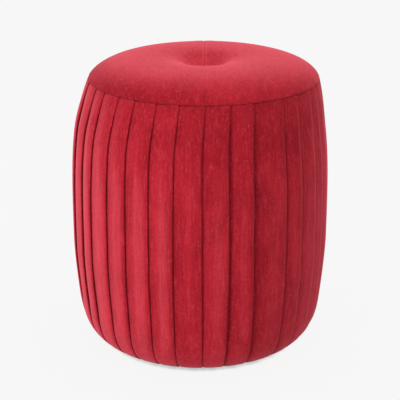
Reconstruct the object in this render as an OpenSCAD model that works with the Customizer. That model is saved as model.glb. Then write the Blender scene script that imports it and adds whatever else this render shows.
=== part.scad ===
// Round upholstered pouf stool with a knife-pleated velvet side and a domed, tufted seat.
// A drum of plywood discs, battens and fibreboard carries foam, wadding and the sewn cover.
// A covered button is pulled into the middle of the seat by a twine tied under the top board.
// Units are millimetres. +Z is up, the front faces -Y, and the origin is on the floor
// under the middle of the stool.

/* [Body] */
// Diameter of the pleated side at its widest
body_d = 400; // [390:1:410]
// Height of the widest ring above the floor
belly_h = 168; // [160:1:180]
// Diameter at the shoulder seam
seam_d = 350; // [344:1:356]
// Height of the shoulder seam above the floor
seam_h = 417; // [414:1:420]
// How sharply the side turns in towards the shoulder
shoulder_power = 3.5; // [3:0.1:4]
// How far the side draws in from the belly towards the underside
foot_draw = 15; // [13:1:16]
// How sharply the side turns in towards the underside
foot_power = 1.5; // [1.4:0.1:2]
// Width of the rounded lower edge
edge_w = 36; // [34:1:36]
// Height of the rounded lower edge
edge_h = 78; // [72:1:84]
// Number of knife pleats round the side
pleat_count = 30; // [24:1:32]
// Depth of the step from one pleat down to the next
pleat_step = 2.2; // [1.5:0.1:2.5]

/* [Seat] */
// Rise of the seat dome above the shoulder seam, before the tuft
dome_h = 34; // [33:0.5:35]
// How far the tuft and the middle seam sit to the right of the middle
tuft_x = 7; // [0:1:8]
// Depth of the tuft under the unpulled dome
tuft_depth = 34; // [32:1:36]
// Distance beyond the button over which the tuft fades out
tuft_r = 20.5; // [19:0.5:22]
// Radius of the covered button
button_r = 9; // [8.5:0.5:10]
// Height of the covered button
button_h = 5.5; // [5:0.5:6.5]

/* [Cover and filling] */
// Thickness of the pleated side cover, folds included
side_cover_t = 4; // [3.8:0.1:4.2]
// Thickness of the seat panels
seat_cover_t = 2; // [1.5:0.1:2.2]
// Gap at the middle seam between the two seat panels
seam_gap = 0.4; // [0.3:0.1:0.8]
// Distance from the outer face to the foam, through cover and wadding
foam_inset = 13.8; // [13.6:0.1:14.2]
// Width of the stay tape that the pleats are tacked to
tape_w = 16; // [10:1:20]
// Radius of the inner edge of the hem under the stool
hem_inner_r = 124; // [120:1:126]
// Radius of the dust cover
dust_r = 138; // [136:1:139]
// Thickness of the dust cover
dust_t = 0.8; // [0.5:0.1:0.9]

/* [Frame] */
// Radius of the two plywood boards
board_r = 148; // [147:0.5:148]
// Thickness of each plywood board
board_t = 12; // [12:0.5:13]
// Thickness of the fibreboard skin round the frame
skin_t = 3; // [2.5:0.1:3]
// Radius of the access hole in the base board
access_r = 35; // [25:1:45]
// Width of each square batten
post_w = 28; // [24:1:30]
// Distance from the middle of the stool to each batten
post_ring_r = 125; // [123:1:125]
// Number of battens
post_count = 6; // [6:1:6]
// Height of the top of the frame above the floor
frame_top_h = 370; // [366:1:374]

/* [Glides and fasteners] */
// Radius of each glide
glide_r = 13; // [11:0.5:14]
// Height of a glide below the dust cover
glide_h = 4; // [4:0.1:4.4]
// Distance from the middle of the stool to each glide
glide_ring_r = 102; // [98:1:104]
// Number of glides
glide_count = 4; // [4:1:4]
// Shank radius of the frame screws
screw_r = 2; // [1.8:0.1:2.1]
// Length of the frame screws
screw_len = 40; // [35:1:45]
// Length of a staple's crown
staple_w = 10; // [8:0.5:11]
// Length of a staple's legs
staple_leg = 9; // [7:0.5:10]

/* [Hidden] */
$fn = 96;
clear = 0.2;          // gap left between separate pieces
soft_clear = 0.3;     // gap left beside cloth, foam and wadding
hole_clear = 0.15;    // extra radius of a hole round what passes through it
beyond_cut = 1;       // how far a cutting shape runs past the surface it opens
cover_low = 5;        // height of the lowest cloth above the floor
base_low = cover_low + side_cover_t + soft_clear;
base_top = base_low + board_t;
board_low = frame_top_h - board_t;
skin_in_r = board_r + clear;
skin_out_r = skin_in_r + skin_t;
sleeve_gap = 1.3;     // room for the skin staples under the foam sleeve
sleeve_in_r = skin_out_r + sleeve_gap;
tape_out = side_cover_t + clear;
tape_room = 1.5;      // room for the stay tape between the side cover and its wadding
wadding_out = side_cover_t + tape_room;
wadding_in = foam_inset - soft_clear;
seat_wadding_out = seat_cover_t + soft_clear;
seam_low = seam_h - clear;
dome_flatness = 0.4;  // power that keeps the dome wide before it closes over the top
dome_roundness = 1.45;  // power that rounds the dome's shoulder
dome_last = 78;       // angle at which the dome's rounded shoulder meets its level top
edge_roundness = 2 / 3; // power that rounds the lower edge
tuft_flat = button_r + 1; // radius of the level bottom of the tuft
tuft_reach = 76;      // radius at which the tuft has faded out
tuft_fade = 1.05;     // power with which the tuft fades out
tuft_steps = 12;      // straight steps in the outline of the tuft
tuft_low = crest(0) - tuft_depth;
pad_low = frame_top_h + 12; // lowest point that a layer of the seat may reach
button_lift = 0.5;    // gap between the button and the panels under it
button_low = tuft_low + button_lift;
eye_major = 3;        // radius of the eye under the button
eye_minor = 0.7;      // radius of the eye's wire
eye_sunk = 0.6;       // how far the eye is moulded into the button's back
eye_h = button_low - eye_major + eye_sunk;
eye_hole_r = 5;       // radius of the hole for the button's eye in the panels and wadding
loop_major = 2.5;     // radius of the twine's loop through the eye
loop_drop = 3.2;      // distance from the middle of the eye to the middle of the loop
loop_h = eye_h - loop_drop;
twine_r = 1;
twine_hole_r = 2.5;   // radius of the hole for the twine in the seat foam
toggle_r = 12;        // radius of the toggle under the top board
toggle_t = 4;         // thickness of the toggle
knot_r = 3.5;         // radius of the knot under the toggle
boss_r = 6;           // radius of a glide's boss through the dust cover
head_r = 4;           // radius of a frame screw's head
head_h = 2.5;         // height of a frame screw's head
wire_w = 1.2;         // width of a staple's wire
wire_t = 0.7;         // thickness of a staple's wire
post_start = 30;      // angle of the first batten
glide_start = 45;     // angle of the first glide
glide_screw_r = 1.8;  // shank radius of a glide screw
hem_staple_count = 24;
hem_staple_ring_r = 143.5;
dust_staple_count = 12;
dust_staple_ring_r = 131;
dust_staple_start = 15; // angle of the first staple of the dust cover
skin_staple_count = 8;
skin_staple_start = 7.5; // angle of the first staple of the skin
side_steps = 9;       // straight steps in the outline of the side above its rounded edge
far = 2 * body_d;     // longer than the whole stool

POSTS = [for (i = [1 : post_count]) str("post_", i)];
GLIDES = [for (i = [1 : glide_count]) str("glide_", i)];

// Outer radius of the pleated side at height z, without the rounded lower edge.
function belly_r(z) =
    z > belly_h
    ? body_d / 2 - (body_d - seam_d) / 2 * pow((z - belly_h) / (seam_h - belly_h), shoulder_power)
    : body_d / 2 - foot_draw * pow((belly_h - z) / (belly_h - cover_low), foot_power);

// Point of the rounded lower edge at angle a (0 under the stool, 90 on the side), t inside.
function edge_point(a, t) =
    let (z = cover_low + edge_h * (1 - pow(cos(a), edge_roundness)))
    [belly_r(z) - edge_w * (1 - sin(a)) - t * sin(a), z + t * cos(a)];

// Outline of the side from the underside up to height top, t inside the outer face.
function side_outline(t, top) =
    let (low = cover_low + edge_h, rise = (top - low) / side_steps)
    concat(
        [for (a = [0 : 15 : 75]) edge_point(a, t)],
        [for (i = [0 : side_steps]) [belly_r(low + i * rise) - t, low + i * rise]]
    );

// Height of the level top of the seat dome, t inside its outer face.
function crest(t) = seam_h + (dome_h - t) * pow(sin(dome_last), dome_roundness);

// Outline of the untufted seat dome from the shoulder seam to the middle, t inside its outer face.
function dome_outline(t) =
    concat(
        [for (a = [0 : 6 : dome_last])
            [(seam_d / 2 - t) * pow(cos(a), dome_flatness),
             seam_h + (dome_h - t) * pow(sin(a), dome_roundness)]],
        [[0, crest(t)]]
    );

// How far the tuft pulls the dome down at radius r from the tuft's own axis.
function fade(r) = exp(-pow((r - tuft_flat) / tuft_r, tuft_fade));
function tuft_dip(r) = tuft_depth * (fade(r) - fade(tuft_reach)) / (1 - fade(tuft_reach));

// The points of an outline that lie further out than radius r.
function beyond(points, r) = [for (p = points) if (p[0] > r) p];

function reversed(list) = [for (i = [len(list) - 1 : -1 : 0]) list[i]];

// Solid of revolution between two outlines that run the same way.
module layer(outer, inner, angle = 360) {
    rotate_extrude(angle = angle) polygon(concat(outer, reversed(inner)));
}

// Space that the tuft takes out of the dome, t below its outer face.
module tuft_space(t) {
    step = (tuft_reach - tuft_flat) / tuft_steps;
    over = crest(0) + beyond_cut;
    translate([tuft_x, 0, 0])
        rotate_extrude()
            polygon(concat(
                [[0, over], [0, crest(t) - tuft_depth]],
                [for (i = [0 : tuft_steps])
                    let (r = tuft_flat + i * step) [r, crest(t) - tuft_dip(r)]],
                [[tuft_reach, over]]));
}

// Layer of the tufted seat between t_out and t_in inside its outer face, with a hole for the twine.
module seat_layer(t_out, t_in, hole_r) {
    in_r = seam_d / 2 - t_in;
    difference() {
        rotate_extrude()
            polygon(concat([[0, pad_low], [tuft_reach, pad_low], [in_r, seam_h]],
                           dome_outline(t_out)));
        tuft_space(t_out);
        difference() {
            rotate_extrude()
                polygon(concat([[0, pad_low - beyond_cut], [in_r, pad_low - beyond_cut]],
                               dome_outline(t_in)));
            tuft_space(t_in);
        }
        translate([tuft_x, 0, 0]) cylinder(r = hole_r, h = far);
    }
}

module ring_copies(n, r, start = 0) {
    for (i = [0 : n - 1]) rotate([0, 0, start + i * 360 / n]) translate([r, 0, 0]) children();
}

module torus(major, minor) {
    rotate_extrude() translate([major, 0]) circle(minor, $fn = 24);
}

// Staple with its crown below z = 0 and its legs pointing up. grow widens it into a slot.
module staple(grow = 0) {
    leg_y = (staple_w - wire_w) / 2;
    translate([-wire_t / 2, -staple_w / 2, -wire_t]) cube([wire_t, staple_w, wire_t]);
    for (side = [-1, 1])
        translate([-wire_t / 2 - grow, side * leg_y - wire_w / 2 - grow, -wire_t / 2])
            cube([wire_t + 2 * grow, wire_w + 2 * grow, staple_leg + wire_t / 2 + grow]);
}

module hem_staple_ring(grow = 0) {
    ring_copies(hem_staple_count, hem_staple_ring_r)
        translate([0, 0, cover_low]) staple(grow);
}

module dust_staple_ring(grow = 0) {
    ring_copies(dust_staple_count, dust_staple_ring_r, dust_staple_start)
        translate([0, 0, glide_h]) staple(grow);
}

// Staples driven inwards through the skin into the edge of both boards.
module skin_staple_ring(grow = 0) {
    for (z = [base_low + board_t / 2, board_low + board_t / 2])
        ring_copies(skin_staple_count, skin_out_r, skin_staple_start)
            translate([0, 0, z]) rotate([0, -90, 0]) staple(grow);
}

// Countersunk screw pointing up from z = 0. grow widens it into its hole.
module frame_screw(grow = 0) {
    tip = 6;
    tip_r = 0.4;
    cylinder(r1 = head_r + grow, r2 = screw_r + grow, h = head_h);
    cylinder(r = screw_r + grow, h = screw_len - tip);
    translate([0, 0, screw_len - tip])
        cylinder(r1 = screw_r + grow, r2 = tip_r + grow, h = tip + grow);
}

module base_screw_ring(grow = 0) {
    ring_copies(post_count, post_ring_r, post_start) translate([0, 0, base_low]) frame_screw(grow);
}

module top_screw_ring(grow = 0) {
    ring_copies(post_count, post_ring_r, post_start)
        translate([0, 0, frame_top_h]) mirror([0, 0, 1]) frame_screw(grow);
}

// Pan head screw that holds a glide, pointing up.
module glide_screw_ring(grow = 0) {
    pan_r = 3.6;
    pan_low = 1.2;
    pan_high = 3;
    shank = 15;
    ring_copies(glide_count, glide_ring_r, glide_start) {
        translate([0, 0, pan_low]) cylinder(r = pan_r, h = pan_high - pan_low);
        translate([0, 0, pan_high - clear]) cylinder(r = glide_screw_r + grow, h = shank);
    }
}

// Outline of the cover, t inside its outer face, from inner_r under the stool up to height top.
function cover_outline(t, inner_r, top) =
    concat([[inner_r, cover_low + t]], side_outline(t, top));

// One pleat gap: a thin sector cut into the outer face, from the hem up to the seam.
module pleat_gap() {
    gap_angle = 1;
    from_r = hem_inner_r - beyond_cut;
    rotate([0, 0, -gap_angle / 2])
        layer(cover_outline(-beyond_cut, from_r, seam_h),
              cover_outline(pleat_step, from_r, seam_h), gap_angle);
}

module pleated_side_cover() {
    color([0.72, 0.14, 0.22])
        difference() {
            layer(cover_outline(0, hem_inner_r, seam_low),
                  cover_outline(side_cover_t, hem_inner_r, seam_low));
            for (i = [0 : pleat_count - 1]) rotate([0, 0, i * 360 / pleat_count]) pleat_gap();
            hem_staple_ring(hole_clear);
            dust_staple_ring(hole_clear);
        }
}

module seat_panel(left) {
    color([0.80, 0.22, 0.30])
        difference() {
            seat_layer(0, seat_cover_t, eye_hole_r);
            translate([left ? tuft_x - seam_gap / 2 : tuft_x + seam_gap / 2 - far, -far / 2, 0])
                cube([far, far, far]);
        }
}

module pleat_stay_tape() {
    tape_t = 1;
    below_seam = 4;
    high = seam_low - below_seam;
    low = high - tape_w;
    color([0.90, 0.87, 0.80])
        rotate_extrude()
            polygon([[belly_r(low) - tape_out, low], [belly_r(high) - tape_out, high],
                     [belly_r(high) - tape_out - tape_t, high], [belly_r(low) - tape_out - tape_t, low]]);
}

module side_wadding() {
    outer = beyond(side_outline(wadding_out, seam_low), sleeve_in_r);
    inner = beyond(side_outline(wadding_in, seam_low), sleeve_in_r);
    color([0.95, 0.95, 0.93])
        layer(concat([[sleeve_in_r, cover_low + wadding_out]], outer),
              concat([[sleeve_in_r, cover_low + wadding_in]], inner));
}

module seat_wadding() {
    color([0.95, 0.95, 0.93]) seat_layer(seat_wadding_out, wadding_in, eye_hole_r);
}

module side_foam() {
    top = frame_top_h - clear;
    outer = beyond(side_outline(foam_inset, top), sleeve_in_r);
    color([0.93, 0.86, 0.62])
        rotate_extrude()
            polygon(concat([[sleeve_in_r, cover_low + foam_inset]], outer, [[sleeve_in_r, top]]));
}

module seat_foam() {
    low = frame_top_h + clear;
    rim_steps = 3;
    rim = [for (i = [0 : rim_steps - 1])
        let (z = low + i / rim_steps * (seam_h - low)) [belly_r(z) - foam_inset, z]];
    color([0.93, 0.86, 0.62])
        difference() {
            rotate_extrude() polygon(concat([[0, low]], rim, dome_outline(foam_inset)));
            tuft_space(foam_inset);
            translate([tuft_x, 0, 0]) cylinder(r = twine_hole_r, h = far);
        }
}

module button_cloth() {
    cloth_t = 1;
    color([0.66, 0.12, 0.20])
        translate([tuft_x, 0, button_low])
            rotate_extrude()
                polygon(concat(
                    [for (a = [0 : 10 : 90]) [button_r * cos(a), button_h * sin(a)]],
                    [for (a = [90 : -10 : 0])
                        [(button_r - cloth_t) * cos(a), (button_h - cloth_t) * sin(a)]]));
}

module button_shell() {
    gap = 1.1;
    shell_t = 0.6;
    out_r = button_r - gap;
    out_h = button_h - gap;
    color([0.75, 0.76, 0.78])
        translate([tuft_x, 0, button_low])
            rotate_extrude()
                polygon(concat(
                    [for (a = [0 : 10 : 90]) [out_r * cos(a), out_h * sin(a)]],
                    [for (a = [90 : -10 : 0]) [(out_r - shell_t) * cos(a), (out_h - shell_t) * sin(a)]]));
}

module button_back() {
    back_r = button_r - 2.2;
    back_t = 1.4;
    color([0.30, 0.30, 0.32])
        translate([tuft_x, 0, 0]) {
            translate([0, 0, button_low]) cylinder(r = back_r, h = back_t);
            translate([0, 0, eye_h]) rotate([90, 0, 0]) torus(eye_major, eye_minor);
        }
}

module tuft_twine() {
    knot_gap = 0.1;
    knot_h = board_low - toggle_t - knot_r - knot_gap;
    loop_low = loop_h - loop_major;
    color([0.88, 0.84, 0.74])
        translate([tuft_x, 0, 0]) {
            translate([0, 0, loop_h]) rotate([0, 90, 0]) torus(loop_major, twine_r);
            translate([0, 0, knot_h]) cylinder(r = twine_r, h = loop_low - knot_h);
            translate([0, 0, knot_h]) sphere(r = knot_r);
        }
}

module twine_toggle() {
    color([0.78, 0.62, 0.42])
        translate([tuft_x, 0, board_low - toggle_t])
            difference() {
                cylinder(r = toggle_r, h = toggle_t);
                translate([0, 0, -beyond_cut])
                    cylinder(r = twine_r + soft_clear, h = toggle_t + 2 * beyond_cut);
            }
}

module top_board() {
    board_hole_r = 4;
    color([0.80, 0.66, 0.46])
        difference() {
            translate([0, 0, board_low]) cylinder(r = board_r, h = board_t);
            translate([tuft_x, 0, 0]) cylinder(r = board_hole_r, h = far);
            top_screw_ring(hole_clear);
            skin_staple_ring(hole_clear);
        }
}

module base_board() {
    color([0.80, 0.66, 0.46])
        difference() {
            translate([0, 0, base_low]) cylinder(r = board_r, h = board_t);
            cylinder(r = access_r, h = far);
            base_screw_ring(hole_clear);
            glide_screw_ring(hole_clear);
            hem_staple_ring(hole_clear);
            dust_staple_ring(hole_clear);
            skin_staple_ring(hole_clear);
        }
}

module drum_skin() {
    color([0.55, 0.42, 0.30])
        difference() {
            translate([0, 0, base_low]) cylinder(r = skin_out_r, h = frame_top_h - base_low);
            translate([0, 0, base_low - beyond_cut]) cylinder(r = skin_in_r, h = frame_top_h);
            skin_staple_ring(hole_clear);
        }
}

module post(i) {
    color([0.87, 0.74, 0.54])
        difference() {
            rotate([0, 0, post_start + (i - 1) * 360 / post_count])
                translate([post_ring_r - post_w / 2, -post_w / 2, base_top])
                    cube([post_w, post_w, board_low - base_top]);
            base_screw_ring(hole_clear);
            top_screw_ring(hole_clear);
        }
}

module skin_staples() { color([0.80, 0.80, 0.82]) skin_staple_ring(); }

module top_board_screws() { color([0.80, 0.72, 0.45]) top_screw_ring(); }

module base_board_screws() { color([0.80, 0.72, 0.45]) base_screw_ring(); }

module hem_staples() { color([0.80, 0.80, 0.82]) hem_staple_ring(); }

module dust_cover() {
    color([0.10, 0.10, 0.11])
        difference() {
            translate([0, 0, glide_h]) cylinder(r = dust_r, h = dust_t);
            ring_copies(glide_count, glide_ring_r, glide_start) cylinder(r = boss_r + clear, h = far);
            dust_staple_ring(hole_clear);
        }
}

module dust_cover_staples() { color([0.80, 0.80, 0.82]) dust_staple_ring(); }

// Glide with a chamfered foot, a boss through the dust cover and a recessed screw.
module glide(i) {
    chamfer = 1.5;
    recess_r = 4.2;
    recess_h = 3;
    color([0.13, 0.13, 0.14])
        rotate([0, 0, glide_start + (i - 1) * 360 / glide_count])
            translate([glide_ring_r, 0, 0])
                difference() {
                    union() {
                        cylinder(r1 = glide_r - chamfer, r2 = glide_r, h = chamfer);
                        translate([0, 0, chamfer]) cylinder(r = glide_r, h = glide_h - chamfer);
                        cylinder(r = boss_r, h = base_low);
                    }
                    translate([0, 0, -beyond_cut]) cylinder(r = recess_r, h = recess_h + beyond_cut);
                    cylinder(r = glide_screw_r + hole_clear, h = far);
                }
}

module glide_screws() { color([0.80, 0.80, 0.82]) glide_screw_ring(); }

pleated_side_cover();
seat_panel(true);  // seat_cover_left
seat_panel(false);  // seat_cover_right
pleat_stay_tape();
side_wadding();
seat_wadding();
side_foam();
seat_foam();
button_cloth();
button_shell();
button_back();
tuft_twine();
twine_toggle();
top_board();
base_board();
drum_skin();
for (i = [1 : post_count]) post(i);
skin_staples();
top_board_screws();
base_board_screws();
hem_staples();
dust_cover();
dust_cover_staples();
for (i = [1 : glide_count]) glide(i);
glide_screws();
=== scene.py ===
"""Looks of the pleated velvet pouf stool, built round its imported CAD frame.

Shapes are worked out in millimetres and stored in metres. +Z is up and the front faces -Y.
Angles round the stool are measured from the front, growing towards +X. In a cover, depth and
sink are how far a point lies inside its outline.
"""
import math

import bpy
import numpy as np
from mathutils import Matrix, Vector, geometry


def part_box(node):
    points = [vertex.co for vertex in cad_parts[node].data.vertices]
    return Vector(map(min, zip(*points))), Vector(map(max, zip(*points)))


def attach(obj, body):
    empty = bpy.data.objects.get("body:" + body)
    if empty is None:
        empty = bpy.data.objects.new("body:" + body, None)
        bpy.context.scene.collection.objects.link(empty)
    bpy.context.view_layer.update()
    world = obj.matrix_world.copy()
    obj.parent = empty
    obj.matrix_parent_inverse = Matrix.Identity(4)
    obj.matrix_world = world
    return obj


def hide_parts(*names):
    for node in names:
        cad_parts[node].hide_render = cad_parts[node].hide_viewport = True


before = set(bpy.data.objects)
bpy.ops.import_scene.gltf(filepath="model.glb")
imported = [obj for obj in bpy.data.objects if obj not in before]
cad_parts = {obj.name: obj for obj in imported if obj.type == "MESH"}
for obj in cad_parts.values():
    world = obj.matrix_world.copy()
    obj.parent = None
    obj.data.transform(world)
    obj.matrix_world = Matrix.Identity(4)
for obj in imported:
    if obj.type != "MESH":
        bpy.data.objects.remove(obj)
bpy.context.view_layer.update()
MM = 0.001
ROOT = "root"

# ---------------------------------------------------------------- sizes, in millimetres
CLOTH_LOW = 5.0          # lowest cloth above the floor
BELLY_R = 199.4          # widest radius, at height BELLY_Z
BELLY_Z = 164.0
SEAM_R = 175.0           # shoulder seam
SEAM_Z = 419.4
SHOULDER_POWER = 3.6     # how sharply the side turns in towards the shoulder
FOOT_DRAW = 15.0         # how far the side draws in towards the underside
FOOT_POWER = 1.46
EDGE_W = 35.7            # rounded lower edge
EDGE_H = 78.0
EDGE_ROUND = 2 / 3
HEM_R = 124.0            # inner edge of the hem under the stool
DOME_H = 31.7            # rise of the seat before the tuft
DOME_FLAT = 0.4
DOME_ROUND = 1.45
TUFT_DEPTH = 34.0
TUFT_FLAT = 10.0         # level bottom of the tuft, under the button
TUFT_R = 20.5
TUFT_FADE = 1.05
EYE_HOLE_R = 5.0         # hole for the button's eye
TUFT_X = (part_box("tuft_twine")[0].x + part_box("tuft_twine")[1].x) / 2 / MM
LEAN_FROM, LEAN_TO = 340.0, 450.0   # heights over which the soft top drifts to TUFT_X
BUTTON_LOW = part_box("button_cloth")[0].z / MM

PLEATS = 30
CLOTH_T = 0.9            # velvet thickness
DEEP = -2.5              # mark of the cloth inside the folds, see velvet()
SEAT_T = 1.2             # seat panel thickness, backing included
SLEEVE_R = 152.5         # inside of the foam round the drum
CUT_MARGIN = 1.12        # a seat panel's cut size over its size as seen from above


# ---------------------------------------------------------------- small helpers
def smooth(t):
    t = np.clip(t, 0.0, 1.0)
    return t * t * (3 - 2 * t)


def bump(x, centre, width):
    return np.exp(-((x - centre) / width) ** 2)


def waves(rng, count, low, high):
    """A smooth random curve between about -1 and 1: count waves, low to high cycles per unit."""
    freq = rng.uniform(low, high, count)
    phase = rng.uniform(0, 2 * math.pi, count)
    size = rng.uniform(0.5, 1.0, count)
    size /= size.sum()

    def curve(x):
        x = np.asarray(x, float)[..., None]
        return (size * np.sin(2 * math.pi * freq * x + phase)).sum(-1)
    return curve


def add_object(name, points, faces, material):
    """A new object from points in millimetres. A closed one is turned to face outwards."""
    faces = [list(map(int, f)) for f in faces]
    tri = np.array([[f[0], f[k], f[k + 1]] for f in faces for k in range(1, len(f) - 1)])
    a, b, c = (points[tri[:, k]] for k in range(3))
    if (a * np.cross(b, c)).sum() < 0:
        faces = [f[::-1] for f in faces]
    mesh = bpy.data.meshes.new(name)
    mesh.from_pydata((points * MM).tolist(), [], faces)
    mesh.polygons.foreach_set("use_smooth", [True] * len(mesh.polygons))
    mesh.materials.append(material)
    mesh.update()
    obj = bpy.data.objects.new(name, mesh)
    bpy.context.scene.collection.objects.link(obj)
    return obj


def quads(index, wrap=False):
    """Faces over a grid of vertex numbers. wrap joins the last column to the first."""
    a = np.hstack([index, index[:, :1]]) if wrap else index
    return np.stack([a[:-1, :-1], a[:-1, 1:], a[1:, 1:], a[1:, :-1]], -1).reshape(-1, 4)


def shell(name, outer, inner, material, wrap=False):
    """A closed sheet between two grids of points, outer and inner, with all its rims."""
    rows, cols = outer.shape[:2]
    top = np.arange(rows * cols).reshape(rows, cols)
    low = top + rows * cols
    faces = [quads(top, wrap), quads(low, wrap)[:, ::-1]]
    for edge, turned in ((0, True), (-1, False)):
        rim = quads(np.stack([top[edge], low[edge]]), wrap)
        faces.append(rim if turned else rim[:, ::-1])
    if not wrap:
        for edge, turned in ((0, False), (-1, True)):
            rim = quads(np.stack([top[:, edge], low[:, edge]]))
            faces.append(rim if turned else rim[:, ::-1])
    points = np.concatenate([outer.reshape(-1, 3), inner.reshape(-1, 3)])
    return add_object(name, points, np.concatenate(faces), material)


def lathe(outline, columns):
    """Grid of points (outline, columns, 3) turned about the stool's axis."""
    angle = np.linspace(0, 2 * math.pi, columns, endpoint=False)
    r, z = outline[:, 0][:, None], outline[:, 1][:, None]
    return np.stack([r * np.sin(angle), -r * np.cos(angle), z + 0 * angle], -1)


def upward_normals(grid):
    """Unit normals of a grid of points on the seat, pointing up out of it."""
    n = np.cross(np.gradient(grid, axis=1), np.gradient(grid, axis=0))
    n /= np.maximum(np.linalg.norm(n, axis=-1, keepdims=True), 1e-9)
    return n * np.sign(n[..., 2].mean())


def set_value(obj, name, values):
    """Stores one number per vertex, for the material."""
    layer = obj.data.attributes.new(name, "FLOAT", "POINT")
    layer.data.foreach_set("value", np.asarray(values, np.float32).ravel())


def finish_piece(obj, slot, *nodes):
    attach(obj, ROOT)
    if nodes:
        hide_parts(*nodes)


def flat_area(grid):
    """Area of a grid of points in square metres."""
    down = grid[1:, :-1] - grid[:-1, :-1]
    across = grid[:-1, 1:] - grid[:-1, :-1]
    return float(np.linalg.norm(np.cross(down, across), axis=-1).sum()) * MM * MM


# ---------------------------------------------------------------- materials
class Shader:
    """Builds one procedural material."""

    def __init__(self, name, roughness=0.8, **sockets):
        self.material = bpy.data.materials.new(name)
        self.material.use_nodes = True
        self.tree = self.material.node_tree
        self.out = self.tree.nodes["Principled BSDF"]
        self.out.inputs["Roughness"].default_value = roughness
        for key, value in sockets.items():
            self.out.inputs[key.replace("_", " ").title()].default_value = value
        self.place = self.add("ShaderNodeTexCoord").outputs["Object"]

    def add(self, kind, **settings):
        node = self.tree.nodes.new(kind)
        for key, value in settings.items():
            setattr(node, key, value)
        return node

    def link(self, source, target):
        self.tree.links.new(source, target)

    def feed(self, node, values):
        for key, value in values.items():
            if isinstance(value, bpy.types.NodeSocket):
                self.link(value, node.inputs[key])
            else:
                node.inputs[key].default_value = value

    def scaled(self, x, y, z):
        node = self.add("ShaderNodeMapping")
        self.feed(node, {"Vector": self.place, "Scale": (x, y, z)})
        return node.outputs["Vector"]

    def noise(self, scale, detail=3.0, rough=0.55, warp=0.0, at=None):
        node = self.add("ShaderNodeTexNoise")
        self.feed(node, {"Vector": at or self.place, "Scale": scale, "Detail": detail,
                         "Roughness": rough, "Distortion": warp})
        return node.outputs["Fac"]

    def cells(self, scale):
        node = self.add("ShaderNodeTexVoronoi")
        self.feed(node, {"Vector": self.place, "Scale": scale})
        return node.outputs["Distance"]

    def bands(self, scale, warp, axis, detail=2.0):
        node = self.add("ShaderNodeTexWave", bands_direction=axis)
        self.feed(node, {"Vector": self.place, "Scale": scale, "Distortion": warp,
                         "Detail": detail, "Detail Scale": 1.5})
        return node.outputs["Fac"]

    def span(self, value, low, high, to_low=0.0, to_high=1.0):
        node = self.add("ShaderNodeMapRange")
        self.feed(node, {"Value": value, "From Min": low, "From Max": high,
                         "To Min": to_low, "To Max": to_high})
        return node.outputs["Result"]

    def weighted(self, a, share_a, b, share_b):
        return self.maths("ADD", self.maths("MULTIPLY", a, share_a),
                          self.maths("MULTIPLY", b, share_b))

    def maths(self, operation, a, b):
        node = self.add("ShaderNodeMath", operation=operation)
        self.feed(node, {0: a, 1: b})
        return node.outputs[0]

    def value(self, name):
        node = self.add("ShaderNodeAttribute", attribute_name=name)
        return node.outputs["Fac"]

    def ramp(self, value, *stops):
        node = self.add("ShaderNodeValToRGB")
        elements = node.color_ramp.elements
        while len(elements) < len(stops):
            elements.new(0.5)
        for element, (at, colour) in zip(elements, stops):
            element.position = at
            element.color = (*colour, 1)
        self.link(value, node.inputs["Fac"])
        return node.outputs["Color"]

    def mix(self, amount, a, b):
        node = self.add("ShaderNodeMix", data_type="RGBA")
        self.feed(node, {"Factor": amount})
        for key, value in ((6, a), (7, b)):
            if isinstance(value, bpy.types.NodeSocket):
                self.link(value, node.inputs[key])
            else:
                node.inputs[key].default_value = (*value, 1)
        return node.outputs[2]

    def colour(self, socket):
        self.link(socket, self.out.inputs["Base Color"])

    def rough(self, socket):
        self.link(socket, self.out.inputs["Roughness"])

    def relief(self, height, distance, strength=1.0):
        """Adds bump on top of any that is there already. distance is in millimetres."""
        node = self.add("ShaderNodeBump")
        self.feed(node, {"Height": height, "Distance": distance * MM, "Strength": strength})
        normal = self.out.inputs["Normal"]
        if normal.links:
            self.link(normal.links[0].from_socket, node.inputs["Normal"])
        self.link(node.outputs["Normal"], normal)


# the dark tone serves the nap's dark patches and flecks, and the painted shade as well
VELVET_DARK = (0.26, 0.006, 0.014)
VELVET_MID = (0.53, 0.019, 0.034)
VELVET_LIGHT = (0.72, 0.035, 0.060)
# paler nap, and the painted highlight and painted light that most pale marks are
VELVET_PALE_NAP_AND_HIGHLIGHT = (0.95, 0.105, 0.145)
# painted sheen: the colour the velvet is painted towards where it is seen at a grazing angle
VELVET_SHEEN = (1.0, 0.14, 0.19)       # at a grazing angle, and the palest flecks
# a saturated red painted on the cloth inside the folds, for the light bounced between its layers
VELVET_PAINTED_FOLD_BOUNCE = (0.95, 0.002, 0.014)     # inside the folds


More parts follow.
